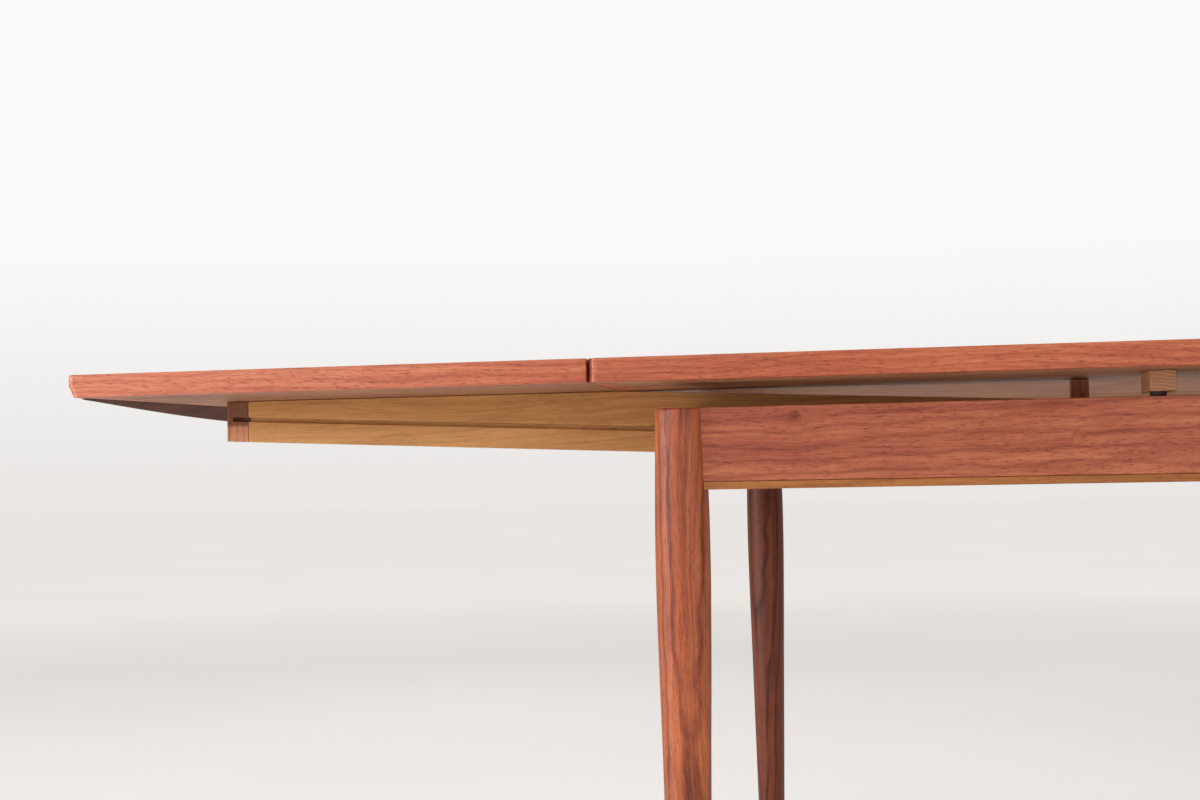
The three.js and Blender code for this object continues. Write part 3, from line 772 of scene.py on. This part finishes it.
def add_top_fittings():
    for index, side in enumerate(SIDES):
        for end in ENDS:
            node = f"spacer_block_{side}_{end}"
            block = end_grain("block_end_grain_" + side + end, (0.3 * index, 0.1, 0.2))
            rounded(node, block, [(everywhere, 0.6 * MM)])
            add_stud(f"rubber_stud_{side}_{end}", node)
        rounded("top_peg_" + side, BLOCK_WOOD, [(everywhere, 0.8 * MM)])
        rounded("peg_washer_" + side, BLOCK_WOOD, [(everywhere, 0.8 * MM)])
        low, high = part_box("peg_washer_" + side)
        middle = (low + high) / 2
        add_screw("peg_screw_" + side, Vector((middle.x, middle.y, low.z)), SCREW_RADIUS, "main_top")


def add_stud(name, block):
    """Rubber stud between a spacer block and the apron it rests on."""
    low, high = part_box(block)
    apron_low, apron_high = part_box("side_apron_front")
    at_left = high.x < TOP_CENTRE_X
    x = low.x + STUD_FROM_BLOCK_END if at_left else high.x - STUD_FROM_BLOCK_END
    y = math.copysign(abs(apron_low.y) - STUD_FROM_APRON_FACE, low.y)
    gap = low.z - apron_high.z
    profile = [
        (0.0, STUD_RADIUS),
        (-gap * 0.7, STUD_RADIUS),
        (-gap + 0.35 * MM, STUD_RADIUS * 0.86),
        (-gap + 0.1 * MM, STUD_RADIUS * 0.6),
    ]
    build = bmesh.new()
    lathe(build, Vector((x, y, low.z)), profile, STUD_SIDES)
    stud = finish_mesh(build, name, RUBBER)
    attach(stud, "main_top")


def add_screw(name, place, radius, body):
    """Slotted screw head, driven in from below and standing a little proud."""
    start = math.asin(SCREW_SLOT)
    build = bmesh.new()
    for half in (-1, 1):
        angles = [start + (math.pi - 2 * start) * step / SCREW_STEPS for step in range(SCREW_STEPS + 1)]
        outline = [(radius * math.cos(angle), half * radius * math.sin(angle)) for angle in angles]
        crown = [
            build.verts.new((place.x + x * SCREW_CROWN, place.y + y * SCREW_CROWN, place.z - SCREW_RIM))
            for x, y in outline
        ]
        foot = [build.verts.new((place.x + x, place.y + y, place.z + SCREW_SUNK)) for x, y in outline]
        build.faces.new(crown)
        build.faces.new(list(reversed(foot)))
        for first in range(len(outline)):
            second = (first + 1) % len(outline)
            build.faces.new((foot[first], foot[second], crown[second], crown[first]))
    head = finish_mesh(build, name, STEEL)
    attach(head, body)


def add_leaf(end, sign, base_shift):
    prefix = end + "_leaf"
    low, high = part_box(prefix + "_panel")
    joint_x = high.x if sign < 0 else low.x
    panel = panel_wood("teak_veneer_" + prefix, (base_shift, 0.0, 0.2), low, high)
    rounded(prefix + "_panel", panel, [(near_x(joint_x, TOUCH), 0.5 * MM)], segments=2)
    for side, side_sign in SIDES.items():
        node = f"{prefix}_edge_{side}"
        offset = (base_shift + 1 + side_sign, 0.3, 0.5)
        rounded(node, lipping_wood("teak_edge_" + node, "X", offset, high.z, 0.34),
                arrises(lipping_rule(joint_x), node))
        add_runner(prefix, side, side_sign, base_shift)
    node = prefix + "_edge_end"
    end_low, end_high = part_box(node)
    tip = end_low.x if sign < 0 else end_high.x
    material = lipping_wood("teak_end_" + prefix, "Y", (base_shift + 3, 0.3, 0.5), high.z, 0.34)
    rounded(node, material, arrises(near_x(tip, LEAF_END_DEPTH), node))
    grip = wood("teak_grip_" + prefix, "Y", (base_shift + 5, 0.1, 0.1), figure=0.6, roughness=0.65,
                gloss=0.12, **TEAK_DARK)
    rounded(prefix + "_grip", grip, [(lambda point: point.z < low.z - 1.5 * MM, 0.8 * MM)])


def lipping_rule(joint_x):
    """The outer face of a leaf's long lipping and its end at the joint."""
    def rule(point):
        along = abs(point.x - joint_x)
        outer = abs(point.y) > edge_line(JOINT_REACH + along) - LEAF_LIPPING_DEPTH
        return outer or along < TOUCH
    return rule


def add_runner(prefix, side, side_sign, base_shift):
    seed = base_shift + 0.37 * side_sign
    bar = wood(f"beech_{prefix}_{side}", "X", (seed, 0.3 * side_sign, 0.5), figure=0.35, pores=0.3,
               rings=34.0, pith=(0.0, 0.02, 0.16), roughness=0.42, **BEECH)
    runner = f"{prefix}_runner_{side}"
    rounded(runner, bar, [(everywhere, 0.7 * MM)], segments=2)
    low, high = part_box(f"{prefix}_runner_cap_{side}")
    # Painted shade: the cap's upper part is darkened, as it lies in the shadow of the leaf's edge above it.
    cap_shade = ((low.z + high.z) / 2 - 4 * MM, 1.5 * MM)
    for part, shade_above in (("cap", cap_shade), ("stop", None)):
        # Both take the paler tones: painted light against the shade of the recess.
        end_piece = wood(f"teak_{part}_{prefix}_{side}", "Z", (seed, 0.1, 0.3), figure=0.9, pores=0.7,
                         roughness=0.5, gloss=0.2, shade_above=shade_above, **TEAK_STOP_LIGHTENED)
        rounded(f"{prefix}_runner_{part}_{side}", end_piece, [(everywhere, 0.7 * MM)], segments=2)


# ---- build ---------------------------------------------------------------------------------------
add_camera()
add_lights()
add_world()
add_floor()
RUBBER = rubber_material()
STEEL = steel_material()
BLOCK_WOOD = wood("beech_block", "Z", (0.7, 0.3, 0.9), figure=0.6, pores=0.35, roughness=0.6, **BEECH_ROUGH)
add_legs()
add_frame()
add_main_top()
add_top_fittings()
add_leaf("left", -1, 21.0)
add_leaf("right", 1, 31.0)
bpy.context.scene.view_settings.view_transform = "Standard"

bpy.context.view_layer.update()
